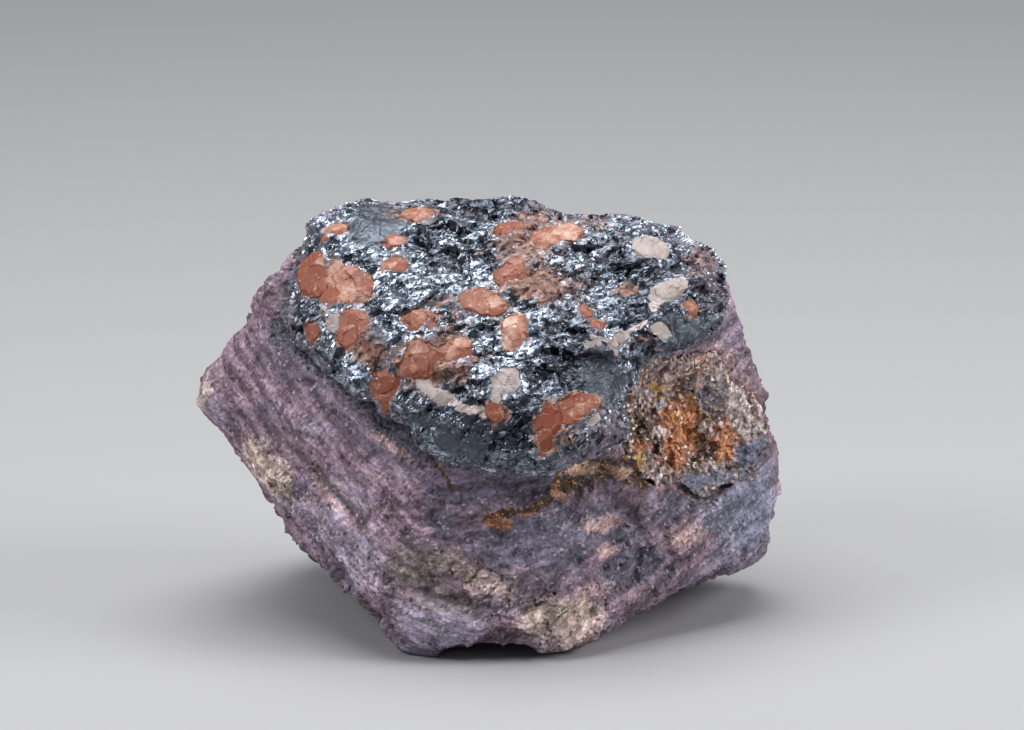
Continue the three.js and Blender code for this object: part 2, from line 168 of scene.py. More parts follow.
# Where the matrix broke into coarse chips, and how far its patches stand out of it, in millimetres.
RUGGED = [
    (1.5, 10.3, 21.6, 6.9, -5, 1.0), (-34.0, 29.6, 6.2, 3.9, -50, 0.8), (-24.7, 15.0, 15.4, 2.2, -47, 0.8),
    (23.2, 15.0, 9.3, 3.9, 20, 0.7), (-9.3, 19.6, 9.3, 3.9, -35, 0.7),
]
RELIEF = {"slate": -1.6, "tan": 1.0, "pink": 0.4, "ochre": 0.3, "moss": -0.4}
CAP_PATCHES = {
    "brown": [
        (-19.0, 48.2, 5.2, 2.5, -58, 0.95), (-8.2, 45.5, 6.8, 4.3, 5, 0.95), (6.5, 64.4, 6.8, 4.3, 15, 0.75),
        (7.3, 57.7, 6.8, 3.4, 0, 0.95), (-7.7, 54.8, 3.4, 1.5, 0, 0.6), (33.2, 61.6, 2.8, 4.6, -30, 0.6),
        (20.5, 56.4, 2.3, 1.2, 15, 0.85), (10.8, 35.8, 5.6, 2.8, 45, 0.55), (-24.7, 53.3, 2.2, 1.5, 0, 0.4),
        (23.9, 48.9, 3.1, 1.5, 20, 0.4), (-13.0, 68.1, 3.4, 1.4, 0, 0.45), (15.4, 67.2, 4.6, 2.2, 10, 0.45),
        (-5.9, 52.3, 4.0, 1.9, 0, 0.5),
    ],
    "smooth": [
        (-17.8, 66.5, 4.6, 3.4, 10, 1.0), (-6.8, 33.5, 2.2, 2.2, 0, 1.0), (-2.8, 32.6, 2.3, 2.0, 10, 0.95),
        (17.6, 42.8, 3.4, 4.9, 10, 0.9), (29.6, 50.5, 4.3, 2.8, 0, 0.95), (-17.3, 50.2, 2.0, 1.2, -40, 0.9),
        (-9.3, 36.9, 4.0, 1.4, -20, 0.7),
    ],
    # Darker, duller metal: partly the cap's duller faces, partly painted shade on its lower nose.
    "dull": [
        (1.5, 36.3, 15.4, 6.2, -8, 1.0), (15.4, 44.0, 7.1, 8.6, 20, 1.0), (-28.6, 50.5, 6.5, 5.2, -40, 0.8),
        (27.5, 52.3, 9.6, 7.5, -10, 1.0), (-10.8, 64.4, 4.3, 2.5, 10, 0.9), (18.8, 64.4, 6.2, 3.4, 10, 0.5),
        (-9.3, 40.5, 9.3, 3.7, -30, 0.6), (24.0, 59.0, 10.0, 7.0, 0, 0.8), (-2.0, 69.5, 24.0, 2.8, 0, 0.8),
    ],
    "dusty": [
        (18.8, 34.7, 4.6, 4.0, 0, 1.0), (15.4, 31.2, 6.2, 1.6, 5, 0.9),
        (35.8, 56.7, 3.4, 8.0, 25, 0.8), (31.2, 66.5, 5.6, 1.7, -28, 0.75), (38.9, 48.2, 2.2, 6.2, 12, 0.85),
        (-29.6, 59.4, 1.5, 4.0, 20, 0.6), (-30.6, 48.2, 4.0, 2.2, -45, 0.6), (-4.6, 54.2, 3.7, 1.7, 0, 0.5),
        (17.0, 68.2, 4.6, 1.2, -5, 0.4),
    ],
}
# Where the orange grains are redder.
RED_PATCHES = [
    (-27.5, 58.5, 3.1, 5.2, 10, 1.0), (3.2, 65.0, 2.9, 2.6, 0, 0.75), (9.1, 36.0, 2.6, 4.9, 0, 0.9),
    (-10.5, 44.2, 5.6, 2.5, 0, 0.6), (-19.0, 48.0, 7.4, 2.8, -58, 0.65), (3.2, 58.5, 1.9, 2.8, 0, 0.4),
]
# How far the numbers kept on a grain's points make it paler, or redder below zero.
GRAIN_SHADES = {"tone": 0.12, "face": 0.16, "red": -0.19, "rim": -0.10}
# Grains that are redder or paler than the others: -1 is the reddest, 1 the palest.
GRAIN_TONES = {
    "top_brown": -0.6, "lower_lens": -0.8, "lower_right": -0.5, "lower_left": -0.3, "left_band": -0.35,
    "left_small": -0.2, "right_lower": -0.6, "right_upper": -0.2, "large_left": 0.2, "centre": -0.1,
    "column": 0.7, "top_large": 0.25,
}
CRUST_PATCHES = {
    "dusty": [
        (25.5, 44.3, 5.2, 2.4, 0, 0.9), (34.6, 45.5, 4.4, 3.4, 0, 0.9), (19.5, 40.0, 2.0, 3.5, 0, 0.6),
    ],
    "lilac": [
        (33.2, 39.5, 3.6, 2.3, 5, 1.0), (36.5, 46.0, 2.0, 1.4, 0, 0.7), (25.8, 39.0, 1.6, 1.0, 0, 0.7),
    ],
    "dark": [
        (23.0, 35.4, 3.6, 5.2, 0, 1.0), (32.6, 32.4, 1.6, 2.6, 0, 0.9), (19.6, 29.8, 2.8, 2.2, 0, 0.9),
        (30.9, 30.2, 2.2, 1.1, 0, 0.7),
    ],
    "orange": [
        (29.0, 34.2, 3.0, 5.6, 0, 1.0), (35.9, 33.8, 2.4, 3.6, 0, 1.0), (38.9, 43.1, 1.3, 1.8, 0, 0.8),
        (22.9, 32.9, 1.5, 1.1, 0, 0.75), (22.2, 43.5, 1.2, 2.6, 0, 0.55), (31.8, 45.6, 1.2, 1.4, 0, 0.6),
    ],
    "clear": [
        (37.8, 38.8, 3.6, 3.6, 0, 1.0), (39.8, 35.2, 1.8, 2.6, 0, 0.8),
        (20.1, 28.7, 1.9, 1.1, 0, 0.9), (25.0, 27.9, 2.2, 0.9, 0, 0.8),
        (32.1, 35.8, 1.2, 1.0, 0, 0.9), (25.8, 34.9, 1.3, 1.0, 0, 0.9), (34.0, 43.0, 1.4, 1.0, 0, 0.7),
    ],
    "yellow": [
        (25.8, 42.0, 2.4, 0.8, -15, 1.0), (22.9, 30.6, 0.8, 1.8, 0, 1.0), (28.9, 37.0, 1.2, 0.8, 0, 0.6),
    ],
    "rock": [
        (33.5, 26.2, 9.0, 2.6, 12, 1.0), (41.6, 31.4, 3.5, 2.6, 45, 1.0),
    ],
}

# Thin calcite veins on the cap: points across and up, and width.
VEINS = [
    ([(-10.2, 43.2), (-6.9, 39.8), (-3.6, 38.4), (-0.6, 38.0)], 0.75),
    ([(2.2, 41.5), (0.8, 39.3)], 0.5),
    ([(15.2, 49.4), (18.8, 48.5), (21.3, 50.3), (23.2, 51.7)], 0.5),
    ([(18.8, 48.5), (19.3, 46.6)], 0.5),
    ([(24.4, 54.0), (29.5, 58.1)], 0.7),
]

# The rusty seam that trails from the hollow, and a finer one to its left: points across and up, width, depth.
SEAMS = [
    ([(23.0, 28.6), (18.5, 28.3), (13.0, 28.0)], 2.6, 0.7),
    ([(14.5, 27.0), (10.8, 25.0), (5.9, 23.5), (2.5, 22.6)], 0.8, 0.7),
    ([(3.0, 22.8), (-0.8, 21.9)], 0.5, 0.4),
    ([(-9.6, 31.7), (-7.4, 29.3), (-5.4, 26.6)], 0.4, 0.3),
]


def length(name, description, default):
    """A property for a size given in millimetres."""
    return bpy.props.FloatProperty(
        name=name, description=description, default=default * MM, unit="LENGTH", precision=5, min=0.0)


def colour(name, description, default):
    """A property for a colour."""
    return bpy.props.FloatVectorProperty(
        name=name, description=description, default=default, subtype="COLOR", size=3, min=0.0, max=1.0)


def power(name, description, default):
    """A property for a light's power in watts."""
    return bpy.props.FloatProperty(
        name=name, description=description, default=default, unit="POWER", min=0.0)


class MatrixLook(bpy.types.PropertyGroup):
    """Sizes and colours of the layered matrix"""

    skin_step: length("Skin step", "Spacing of the skin's points", 0.50)
    block: length("Block", "Size of the broad faces that the rock split along", 10.0)
    chip: length("Chip", "Size of the chips that the rock broke off in", 2.8)
    layer: length("Layer", "Spacing of the broken layers", 1.5)
    layer_step: length("Layer step", "Height of each broken layer", 0.36)
    grain: length("Grain", "Size of the rock's grains", 0.42)
    streak: length("Streak", "Thickness of the streaks along the layers", 0.34)
    mauve: colour("Mauve", "Main colour", (0.250, 0.171, 0.216))
    dusk: colour("Dusk", "Colour of the darker layers by the cap", (0.165, 0.125, 0.178))
    pale: colour("Pale", "Colour of the palest layers", (0.42, 0.36, 0.47))
    ochre: colour("Ochre", "Colour of the weathered patches", (0.60, 0.47, 0.41))
    blue_grey: colour("Blue grey", "Colour of the cool layers", (0.235, 0.232, 0.315))
    # Own colour of the dark lens, also used as painted shade along the lower left underside.
    slate: colour("Slate", "Colour of the dark lens below the cap", (0.145, 0.13, 0.18))
    moss: colour("Moss", "Colour of the dark granular patches", (0.20, 0.17, 0.15))
    pink: colour("Pink", "Colour of the pink patches", (0.44, 0.295, 0.29))
    rust: colour("Rust", "Colour of the iron stain", (0.50, 0.22, 0.12))
    tan: colour("Tan", "Colour of the pebbles by the hollow", (0.44, 0.28, 0.20))
    seam: colour("Seam", "Colour of the rusty seams", (0.075, 0.040, 0.025))
    gold: colour("Gold", "Colour of the sparkling grains in the seams", (0.60, 0.34, 0.12))
    # The colour of painted highlights: pale specks that stand for glints.
    speck: colour("Speck", "Colour of the glinting specks", (0.80, 0.75, 0.78))
    metal: colour("Metal", "Colour of the dark grains by the cap", (0.10, 0.11, 0.13))


class CapLook(bpy.types.PropertyGroup):
    """Sizes and colours of the franklinite cap"""

    skin_step: length("Skin step", "Spacing of the skin's points", 0.32)
    growth: length("Growth", "How far the skin closes the seats of its neighbours", 0.15)
    crystal: length("Crystal", "Width of the larger crystals", 3.0)
    facet: length("Facet", "Size of the faces on them", 1.2)
    glint: length("Glint", "Size of the smallest glinting faces", 0.58)
    terrace: length("Terrace", "Spacing of the ledges that climb to the right", 4.2)
    ledge: length("Ledge", "Height of each ledge", 1.0)
    metal: colour("Metal", "Reflecting colour of the faces", (0.47, 0.54, 0.65))
    # Dark colour of those patches, partly duller metal and partly painted shade.
    dull_and_shade_colour: colour("Tarnish", "Colour of the dull faces", (0.05, 0.058, 0.075))
    smooth: colour("Smooth", "Colour of the large smooth crystals", (0.08, 0.095, 0.115))
    brown: colour("Brown", "Colour of the stain round the grains", (0.22, 0.105, 0.07))
    rosy: colour("Rosy", "Palest colour of that stain", (0.38, 0.22, 0.175))
    dust: colour("Dust", "Colour of the rock grains along its edge", (0.155, 0.125, 0.16))
    vein: colour("Vein", "Colour of the thin calcite veins", (0.58, 0.49, 0.48))


class GrainLook(bpy.types.PropertyGroup):
    """Sizes and colours of the orange grains and the calcite"""

    skin_step: length("Skin step", "Spacing of the skin's points", 0.22)
    growth: length("Growth", "How far a grain closes its seat", 0.3)
    proud: length("Proud", "How far a grain stands out of the cap", 0.4)
    cleavage: length("Cleavage", "Size of the cleaved faces", 2.2)
    red: colour("Red", "Deepest colour of the orange grains", (0.26, 0.072, 0.036))
    salmon: colour("Salmon", "Main colour of the orange grains", (0.40, 0.170, 0.112))
    pale: colour("Pale", "Lightest colour of the orange grains", (0.63, 0.41, 0.33))
    calcite: colour("Calcite", "Main colour of the calcite", (0.39, 0.325, 0.31))
    calcite_shade: colour("Calcite shade", "Colour in the calcite's clefts", (0.27, 0.21, 0.20))
    calcite_light: colour("Calcite light", "Lightest colour of the calcite", (0.56, 0.495, 0.475))


class CrustLook(bpy.types.PropertyGroup):
    """Sizes and colours of the iron-stained crust"""

    skin_step: length("Skin step", "Spacing of the skin's points", 0.22)
    crystal: length("Crystal", "Size of the crust's small crystals", 0.8)
    olive: colour("Olive", "Olive brown of the older crystals", (0.46, 0.33, 0.28))
    mauve: colour("Mauve", "Colour of the crystals with little stain", (0.70, 0.53, 0.54))
    dusty: colour("Dusty", "Brown of the dusty patches", (0.58, 0.43, 0.41))
    lilac: colour("Lilac", "Colour of the grey patches", (0.56, 0.52, 0.60))
    dark: colour("Dark", "Brown of the dark patches", (0.17, 0.105, 0.065))
    orange: colour("Orange", "Colour of the rust patches", (0.74, 0.30, 0.13))
    clear: colour("Clear", "Colour of the clear crystals", (1.0, 0.86, 0.83))
    yellow: colour("Yellow", "Colour of the freshest stain", (0.92, 0.56, 0.20))
    rock: colour("Rock", "Colour of the bare rock along its edge", (0.215, 0.22, 0.325))


class StageLook(bpy.types.PropertyGroup):
    """Floor, lights and camera"""

    floor: colour("Floor", "Colour of the floor", (0.42, 0.42, 0.43))
    sky: bpy.props.FloatProperty(name="Sky", description="Strength of the even light", default=0.2, min=0.0)
    top_light: power("Top light", "Power of the softbox overhead", 3.3)
    left_light: power("Left light", "Power of the softbox at the front left", 1.7)
    right_light: power("Right light", "Power of the softbox at the right", 2.0)
    lens: bpy.props.FloatProperty(
        name="Lens", description="Focal length of the camera", default=300.0, unit="CAMERA")
    frame_width: length("Frame width", "Width of the picture at the specimen", 156.3)


# Softboxes round the specimen: place and size in metres.
SOFTBOXES = {
    "top": ((-0.04, 0.05, 0.55), (0.55, 0.42)),
    "left": ((-0.46, -0.26, 0.45), (0.22, 0.22)),
    "right": ((0.50, -0.10, 0.30), (0.25, 0.35)),
}
LIT_PLACE = (0.0, 0.0, 0.035)  # where they look, in metres
PICTURE_MIDDLE = (3.4, 45.1, -16.0)  # what the camera looks at: millimetres across, up, towards the viewer

LOOKS = {
    "specimen_matrix": MatrixLook,
    "specimen_cap": CapLook,
    "specimen_grain": GrainLook,
    "specimen_crust": CrustLook,
    "specimen_stage": StageLook,
}


def select_only(piece):
    bpy.ops.object.select_all(action="DESELECT")
    piece.select_set(True)
    bpy.context.view_layer.objects.active = piece


def apply_modifier(piece, kind, **settings):
    """Adds a modifier to the active piece, sets it and applies it."""
    bpy.ops.object.modifier_add(type=kind)
    modifier = piece.modifiers[-1]
    for setting, value in settings.items():
        setattr(modifier, setting, value)
    bpy.ops.object.modifier_apply(modifier=modifier.name)


def skin_of(node, name, step):
    """A copy of a solid, its loose triangles merged and remeshed to a fine even skin."""
    piece = bpy.data.objects.new(name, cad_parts[node].data.copy())
    bpy.context.collection.objects.link(piece)
    select_only(piece)
    bpy.ops.object.mode_set(mode="EDIT")
    bpy.ops.mesh.select_all(action="SELECT")
    bpy.ops.mesh.remove_doubles(threshold=1e-6)
    bpy.ops.object.mode_set(mode="OBJECT")
    apply_modifier(piece, "REMESH", mode="VOXEL", voxel_size=step, adaptivity=0.0)
    return piece


def triples(items, field):
    values = np.empty(len(items) * 3)
    items.foreach_get(field, values)
    return values.reshape(-1, 3)


def points_of(piece):
    return triples(piece.data.vertices, "co")


def normals_of(piece):
    return triples(piece.data.vertex_normals, "vector")


def move_points(piece, points):
    piece.data.vertices.foreach_set("co", points.ravel())
    piece.data.update()


def push(piece, heights):
    """Moves each point along its normal."""
    move_points(piece, points_of(piece) + normals_of(piece) * np.reshape(heights, (-1, 1)))


def noise_at(points, size, octaves=3):
    """Fractal noise between about -1 and 1 at points in metres."""
    return np.array([noise.fractal(p, 0.8, 2.0, octaves) for p in (points / size).tolist()])


def mean_by_cell(cells, values):
    count = cells.max() + 1
    sums = np.stack([np.bincount(cells, values[:, k], count) for k in range(3)], 1)
    return sums / np.bincount(cells, minlength=count)[:, None]


def unit(vectors):
    return vectors / np.maximum(np.linalg.norm(vectors, axis=1, keepdims=True), 1e-9)


def mosaic(piece, size, tilt, step, seed, share, drawn_out=1.0, lean=0.0, proud=FACE_LIMIT, thin=False):
    """Breaks a skin into cells and lays each on a flat tilted face of its own, as a crystal mass breaks.

    Cells may be drawn out along the rows of the cap, lean upwards, and stand proud by no more than a share
    of their size. A thin piece has other cells on its back than on its front. Returns two numbers for each
    point: one from 0 to 1 that is the same all over its cell, and its distance from the cell's edge."""
    points, normals = points_of(piece), normals_of(piece)
    squeezed = points - np.outer(points @ ROWS, ROWS) * (1.0 - 1.0 / drawn_out)
    found = [noise.voronoi(p) for p in (squeezed / size + seed * 3.7).tolist()]
    edge = np.array([distances[1] - distances[0] for distances, _ in found]) * size / 2
    seeds = np.round(np.array([nearest[0] for _, nearest in found]), 4)
    if thin:
        seeds = np.column_stack([seeds, normals @ TOWARD > 0.0])
    cells = np.unique(seeds, axis=0, return_inverse=True)[1].ravel()
    centre = mean_by_cell(cells, points)
    facing = unit(mean_by_cell(cells, normals))
    chance = np.random.default_rng(seed)
    face = unit(facing + tilt * chance.normal(size=facing.shape) + lean * UP)
    slant = np.maximum((facing * face).sum(1), 0.35)
    rise = ((centre[cells] - points) * face[cells]).sum(1) / slant[cells]
    rise += step * chance.uniform(-0.5, 0.5, len(centre))[cells]
    rise = np.clip(rise, -FACE_LIMIT * size, proud * size) * share
    move_points(piece, points + facing[cells] * rise[:, None])
    return chance.uniform(size=len(centre))[cells], edge


def on_display(points):
    """Across, up and towards the viewer from the display face, in millimetres."""
    offset = (points - DISPLAY_ORIGIN) / MM
    return offset[:, 0], offset @ UP, offset @ TOWARD


def route_distance(across, up, route):
    """Distance of each place from a line of points on the display face."""
    places = np.stack([across, up], 1)
    nearest = np.full(len(places), np.inf)
    for start, end in zip(np.array(route[:-1]), np.array(route[1:])):
        run = end - start
        share = np.clip((places - start) @ run / (run @ run), 0.0, 1.0)
        nearest = np.minimum(nearest, np.linalg.norm(places - start - share[:, None] * run, axis=1))
    return nearest


def nearness(points, nodes, reach):
    """How near each point lies to some solids: 1 on them, 0 beyond the reach."""
    corners, faces = [], []
    for node in nodes:
        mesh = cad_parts[node].data
        faces += [[len(corners) + i for i in face.vertices] for face in mesh.polygons]
        corners += [corner.co for corner in mesh.vertices]
    tree = BVHTree.FromPolygons(corners, faces)
    found = [tree.find_nearest(p, reach)[3] for p in points.tolist()]
    return np.array([0.0 if distance is None else 1.0 - distance / reach for distance in found])


class Painter:
    """Lays soft patches and seams with frayed edges on the display side of a skin."""

    def __init__(self, points, normals):
        self.across, self.up, toward = on_display(points)
        facing = np.clip((normals @ TOWARD + 0.02) / 0.17, 0.0, 1.0)
        self.front = facing * np.clip((toward + DISPLAY_DEPTH) / 8.0, 0.0, 1.0)
        self.drift = [noise_at(points + shift, 6 * MM) for shift in (0.0, 0.05)]
        self.fray = [noise_at(points + shift, 1.6 * MM) for shift in (0.1, 0.15)]

    def patches(self, patches):
        """How strongly the patches cover each point, from 0 to 1."""
        cover = np.zeros(len(self.across))
        for middle, height, half_length, half_width, turn, strength in patches:
            reach = min(half_length, half_width)
            sway, fray = 0.5 * min(reach, 5.0), 0.35 * min(reach, 2.5)
            right = self.across - middle + sway * self.drift[0] + fray * self.fray[0]
            above = self.up - height + sway * self.drift[1] + fray * self.fray[1]
            turned = math.radians(turn)
            along = (right * math.cos(turned) + above * math.sin(turned)) / half_length
            aside = (above * math.cos(turned) - right * math.sin(turned)) / half_width
            cover = np.maximum(cover, strength * np.exp(-((along ** 2 + aside ** 2) ** 1.7)))
        return cover * self.front

    def seam(self, route, width):
        across = self.across + 0.7 * width * self.drift[0] + 0.5 * width * self.fray[0]
        up = self.up + 0.7 * width * self.drift[1] + 0.5 * width * self.fray[1]
        return np.exp(-((route_distance(across, up, route) / width) ** 2)) * self.front


def draw_corners(piece, corners):
    """Moves the corners of a skin's outline to where the specimen has them."""
    points = points_of(piece)
    across, up, _ = on_display(points)
    for middle, height, reach, rightwards, upwards in corners:
        share = np.clip(1.0 - np.hypot(across - middle, up - height) ** 2 / reach ** 2, 0.0, 1.0) ** 2
        points[:, 0] += share * rightwards * MM
        points += np.outer(share * upwards * MM, UP)
    move_points(piece, points)


def layer_depth(points):
    """Millimetres outwards from the cap, across the layers that sag below it."""
    across, up, toward = on_display(points)
    return LAYER_CLIMB * np.hypot(across + LAYER_SHIFT * toward, LAYER_SAG) - up - LAYER_DIP * toward


class Nodes:
    """A material's node tree, with short calls to add and join its nodes."""

    def __init__(self, name):
        self.material = bpy.data.materials.new(name)
        self.material.use_nodes = True
        self.tree = self.material.node_tree
        self.shader = self.tree.nodes["Principled BSDF"]

    def add(self, kind, inputs=None, **settings):
        node = self.tree.nodes.new(f"ShaderNode{kind}")
        for setting, value in settings.items():
            setattr(node, setting, value)
        for socket, value in (inputs or {}).items():
            self.put(node.inputs[socket], value)
        return node

    def put(self, socket, value):
        """Sets a socket to a value, or joins another node's output to it."""
        if isinstance(value, bpy.types.NodeSocket):
            self.tree.links.new(value, socket)
        elif hasattr(value, "__len__") and socket.type == "RGBA" and len(value) == 3:
            socket.default_value = (*value, 1.0)
        else:
            socket.default_value = value

    def place(self):
        return self.add("TexCoord").outputs["Object"]

    def kept(self, name):
        """A number that was stored on the piece's points."""
        return self.add("Attribute", attribute_name=name).outputs["Fac"]

    def grain(self, vector, size, detail=4.0, roughness=0.55):
        """Noise whose features measure about the given size in metres."""
        return self.add("TexNoise", {
            "Vector": vector, "Scale": 1.0 / size, "Detail": detail, "Roughness": roughness}).outputs["Fac"]

    def cells(self, vector, size):
        """A random colour for each of a mass of cells."""
        return self.add("TexVoronoi", {"Vector": vector, "Scale": 1.0 / size}).outputs["Color"]

    def edges(self, vector, size):
        """Distance from the edges of a mass of cells, as a share of their size."""
        return self.add("TexVoronoi", {
            "Vector": vector, "Scale": 1.0 / size}, feature="DISTANCE_TO_EDGE").outputs["Distance"]

    def parts(self, tint):
        """A colour's three channels, as three random numbers."""
        return self.add("SeparateColor", {"Color": tint}).outputs

    def maths(self, operation, a, b):
        return self.add("Math", {0: a, 1: b}, operation=operation).outputs[0]

    def vectors(self, operation, a, b):
        return self.add("VectorMath", {0: a, 1: b}, operation=operation).outputs["Vector"]

    def product(self, *factors):
        total = factors[0]
        for value in factors[1:]:
            total = self.maths("MULTIPLY", total, value)
        return total

    def weighed(self, a, a_share, b, b_share):
        """The sum of two values, each times its share."""
        return self.maths("ADD", self.maths("MULTIPLY", a, a_share), self.maths("MULTIPLY", b, b_share))

    def without(self, value):
        """What a value leaves of 1."""
        return self.maths("SUBTRACT", 1.0, value)

    def scaled(self, vector, share):
        return self.add("VectorMath", {0: vector, "Scale": share}, operation="SCALE").outputs["Vector"]

    def blend(self, share, a, b):
        """Mixes two colours by a share."""
        return self.add("Mix", {"Factor": share, "A": a, "B": b}, data_type="RGBA").outputs["Result"]

    def ramp(self, share, *stops):
        """Colours along a ramp: each stop is a position and a colour."""
        node = self.add("ValToRGB", {"Fac": share})
        steps = node.color_ramp.elements
        while len(steps) < len(stops):
            steps.new(1.0)
        for step, (position, tint) in zip(steps, stops):
            step.position = position
            step.color = (*tint, 1.0)
        return node.outputs["Color"]

    def span(self, value, low, high, to_low=0.0, to_high=1.0):
        """Maps a range of values to another, held at its ends."""
        return self.add("MapRange", {
            "Value": value, "From Min": low, "From Max": high, "To Min": to_low, "To Max": to_high,
        }).outputs["Result"]

    def dithered(self, share, chance, softness):
        """A share that each grain takes or leaves by its own chance."""
        offset = self.maths("MULTIPLY", self.maths("SUBTRACT", chance, 0.5), softness)
        return self.span(self.maths("ADD", share, offset), 0.3, 0.7)

    def centred(self, tint):
        """A random colour as a vector to any side."""
        return self.vectors("SUBTRACT", tint, (0.5, 0.5, 0.5))

    def scattered_normal(self, lean):
        """The face's normal, thrown off by a vector."""
        leaned = self.vectors("ADD", self.add("NewGeometry").outputs["Normal"], lean)
        return self.add("VectorMath", {0: leaned}, operation="NORMALIZE").outputs["Vector"]

    def bump(self, height, distance, strength, normal=None):
        node = self.add("Bump", {"Height": height, "Distance": distance, "Strength": strength})
        if normal is not None:
            self.put(node.inputs["Normal"], normal)
        return node.outputs["Normal"]

    def finish(self, **inputs):
        for socket, value in inputs.items():
            self.put(self.shader.inputs[socket.replace("_", " ")], value)
        return self.material


def matrix_rock(look):
    """Granular rock: streaks along the layers, frayed colour patches, dark seams and glinting specks."""
    rock = Nodes("Layered matrix")
    place = rock.place()
    axes = rock.add("SeparateXYZ", {"Vector": place}).outputs
    layers, chips = [rock.add("CombineXYZ", {
        "X": rock.product(rock.kept("layer"), MM),
        "Y": rock.product(axes["X"], share),
        "Z": rock.product(axes["Z"], share),
    }).outputs["Vector"] for share in (0.16, 0.65)]
    streak = rock.grain(layers, look.streak, 4.0, 0.6)
    band = rock.grain(layers, 6.0 * look.streak, 3.0)
    drift = rock.grain(place, 13 * MM, 3.0)
    blotch = rock.grain(chips, 2.2 * MM, 4.0, 0.6)
    fleck = rock.grain(place, 0.55 * MM, 4.0, 0.7)
    chance = rock.parts(rock.cells(place, look.grain))
    shard = rock.parts(rock.cells(place, 0.9 * MM))
    # Cracks along the chip edges: the colour darkens in them as painted shade, and the bump dents them.
    crack = rock.product(
        rock.span(rock.edges(chips, 5 * MM), 0.0, 0.045, 1.0, 0.0), rock.span(drift, 0.45, 0.55),
        rock.kept("rugged"))

    zone = rock.ramp(drift, (0.34, look.dusk), (0.46, look.mauve), (0.58, look.mauve), (0.75, look.pale))
    fray = rock.weighed(chance["Green"], 0.5, fleck, 0.5)
    for stain in MATRIX_PATCHES:
        zone = rock.blend(rock.dithered(rock.kept(stain), fray, 0.8), zone, getattr(look, stain))
    light = rock.product(
        rock.span(streak, 0.34, 0.66, 0.76, 1.26), rock.span(band, 0.36, 0.64, 0.62, 1.42),
        rock.span(chance["Red"], 0.0, 1.0, 0.72, 1.28), rock.span(blotch, 0.35, 0.65, 0.6, 1.45),
        rock.span(fleck, 0.3, 0.7, 0.78, 1.22), rock.span(chance["Green"], 0.04, 0.07, 0.5, 1.0),
        rock.span(shard["Green"], 0.0, 1.0, 0.84, 1.16),
        rock.span(crack, 0.0, 1.0, 1.0, 0.45))
    base = rock.scaled(zone, light)
    # Pale specks that stand for glints on the grains: painted highlights; the paler streak tops are the
    # layers' own colour.
    speck = rock.maths(
        "MAXIMUM", rock.span(chance["Blue"], 0.96, 0.97, 0.0, 0.4), rock.span(streak, 0.66, 0.74, 0.0, 0.2))
    base = rock.blend(speck, base, look.speck)
    rusty = rock.blend(rock.span(chance["Red"], 0.8, 1.0), look.seam, look.gold)
    base = rock.blend(rock.dithered(rock.kept("seam"), chance["Blue"], 0.7), base, rusty)
    metal = rock.dithered(rock.kept("metal"), rock.weighed(blotch, 0.5, chance["Blue"], 0.5), 1.2)
    base = rock.blend(metal, base, rock.scaled(look.metal, rock.span(chance["Red"], 0.0, 1.0, 0.3, 1.5)))
    normal = rock.bump(fleck, 0.14 * MM, 0.7)
    normal = rock.bump(shard["Red"], 0.10 * MM, 0.6, normal)
    normal = rock.bump(crack, -0.3 * MM, 0.8, normal)
    return rock.finish(
        Base_Color=base, Roughness=rock.span(chance["Blue"], 0.5, 1.0, 0.85, 0.45), Normal=normal,
        Metallic=rock.product(metal, 0.75), Specular_IOR_Level=0.35)


def franklinite_metal(look):
    """Blue-black metal whose faces glint one by one, stained brown round the orange grains."""
    metal = Nodes("Franklinite")
    place = metal.place()
    glints = metal.cells(place, look.glint)
    chance = metal.parts(glints)
    coarse = metal.cells(place, 2.4 * look.glint)
    smooth = metal.span(metal.kept("smooth"), 0.3, 0.6)
    dull = metal.kept("dull")
    crisp = metal.without(metal.maths("MAXIMUM", smooth, metal.product(dull, 0.45)))
    lean = metal.vectors(
        "ADD", metal.scaled(metal.centred(glints), metal.product(crisp, 0.8)),
        metal.scaled(metal.centred(coarse), metal.product(crisp, 0.5)))
    fine = metal.grain(place, 0.5 * MM, 4.0, 0.65)
    normal = metal.bump(fine, 0.04 * MM, 0.5, metal.scattered_normal(lean))

    stain = metal.dithered(metal.kept("brown"), chance["Blue"], 0.6)
    # Share of that dark colour: partly duller metal, partly painted shade.
    dull_and_shade_share = metal.product(dull, metal.span(chance["Green"], 0.0, 0.7, 0.78, 1.1))
    # Each face a little lighter or darker at random; darker in the crevices between crystals as painted
    # shade.
    light = metal.product(
        metal.span(chance["Red"], 0.0, 1.0, 0.6, 1.25),
        metal.span(metal.kept("crevice"), 0.2, 0.9, 1.0, 0.25))
    base = metal.blend(dull_and_shade_share, metal.scaled(look.metal, light), look.dull_and_shade_colour)
    base = metal.blend(metal.product(smooth, 0.85), base, look.smooth)
    rosy = metal.ramp(metal.grain(place, 1.2 * MM), (0.38, look.brown), (0.62, look.rosy))
    base = metal.blend(stain, base, metal.scaled(rosy, metal.span(chance["Red"], 0.0, 1.0, 0.5, 1.4)))
    dust = metal.dithered(metal.kept("dusty"), chance["Green"], 1.1)
    base = metal.blend(dust, base, metal.scaled(look.dust, metal.span(chance["Red"], 0.0, 1.0, 0.4, 1.6)))
    vein = metal.span(metal.kept("vein"), 0.35, 0.6)
    base = metal.blend(vein, base, metal.scaled(look.vein, metal.span(fine, 0.3, 0.7, 0.75, 1.2)))
    shine = metal.without(metal.maths("MAXIMUM", metal.maths("MAXIMUM", stain, dust), vein))
    worn_rough = metal.product(metal.maths("MAXIMUM", stain, smooth), 0.2)
    rough = metal.maths("ADD", metal.span(chance["Green"], 0.0, 1.0, 0.20, 0.42), worn_rough)
    return metal.finish(Base_Color=base, Metallic=shine, Roughness=rough, Normal=normal)


